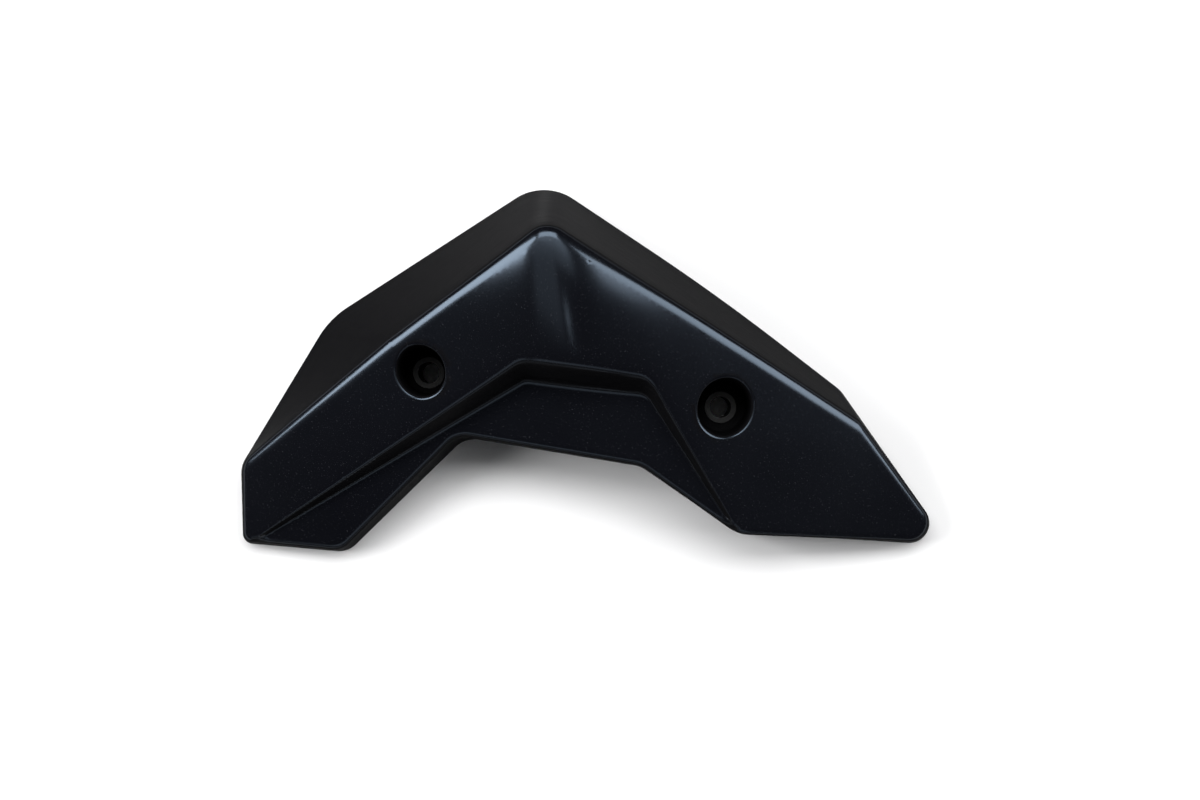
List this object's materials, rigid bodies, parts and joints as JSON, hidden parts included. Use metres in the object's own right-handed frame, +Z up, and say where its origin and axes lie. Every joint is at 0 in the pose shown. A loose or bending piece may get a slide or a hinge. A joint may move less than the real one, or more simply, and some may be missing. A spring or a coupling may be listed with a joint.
{
  "type": "rubber speed bump",
  "caption": "Chevron road hump: hollow moulded black shell with sloping arms, a lower web between them, and deep round bolt wells that fasten it to the road.",
  "frame": {"origin": "centre of the footprint, on the road", "axes": "+Z up from the road, +Y towards the apex of the chevron, +X towards the right tip, along the longest extent"},
  "size_m": [0.4502, 0.2362, 0.1235],
  "materials": {
    "shell": "glossy black moulded skin",
    "panel": "matt moulded",
    "screws": "zinc plated",
    "pads": "matt rubber",
    "sleeves": "black coated steel",
    "seals": "matt rubber",
    "ribs": "matt moulded"
  },
  "bodies": {
    "root": {"moulded_shell": "shell", "base_panel": "panel", "panel_screws": "screws", "grip_pads": "pads", "left_anchor_sleeve": "sleeves", "right_anchor_sleeve": "sleeves", "left_sleeve_seal": "seals", "right_sleeve_seal": "seals", "left_rib_insert": "ribs", "right_rib_insert": "ribs", "crest_rib_insert": "ribs"}
  },
  "joints": []
}
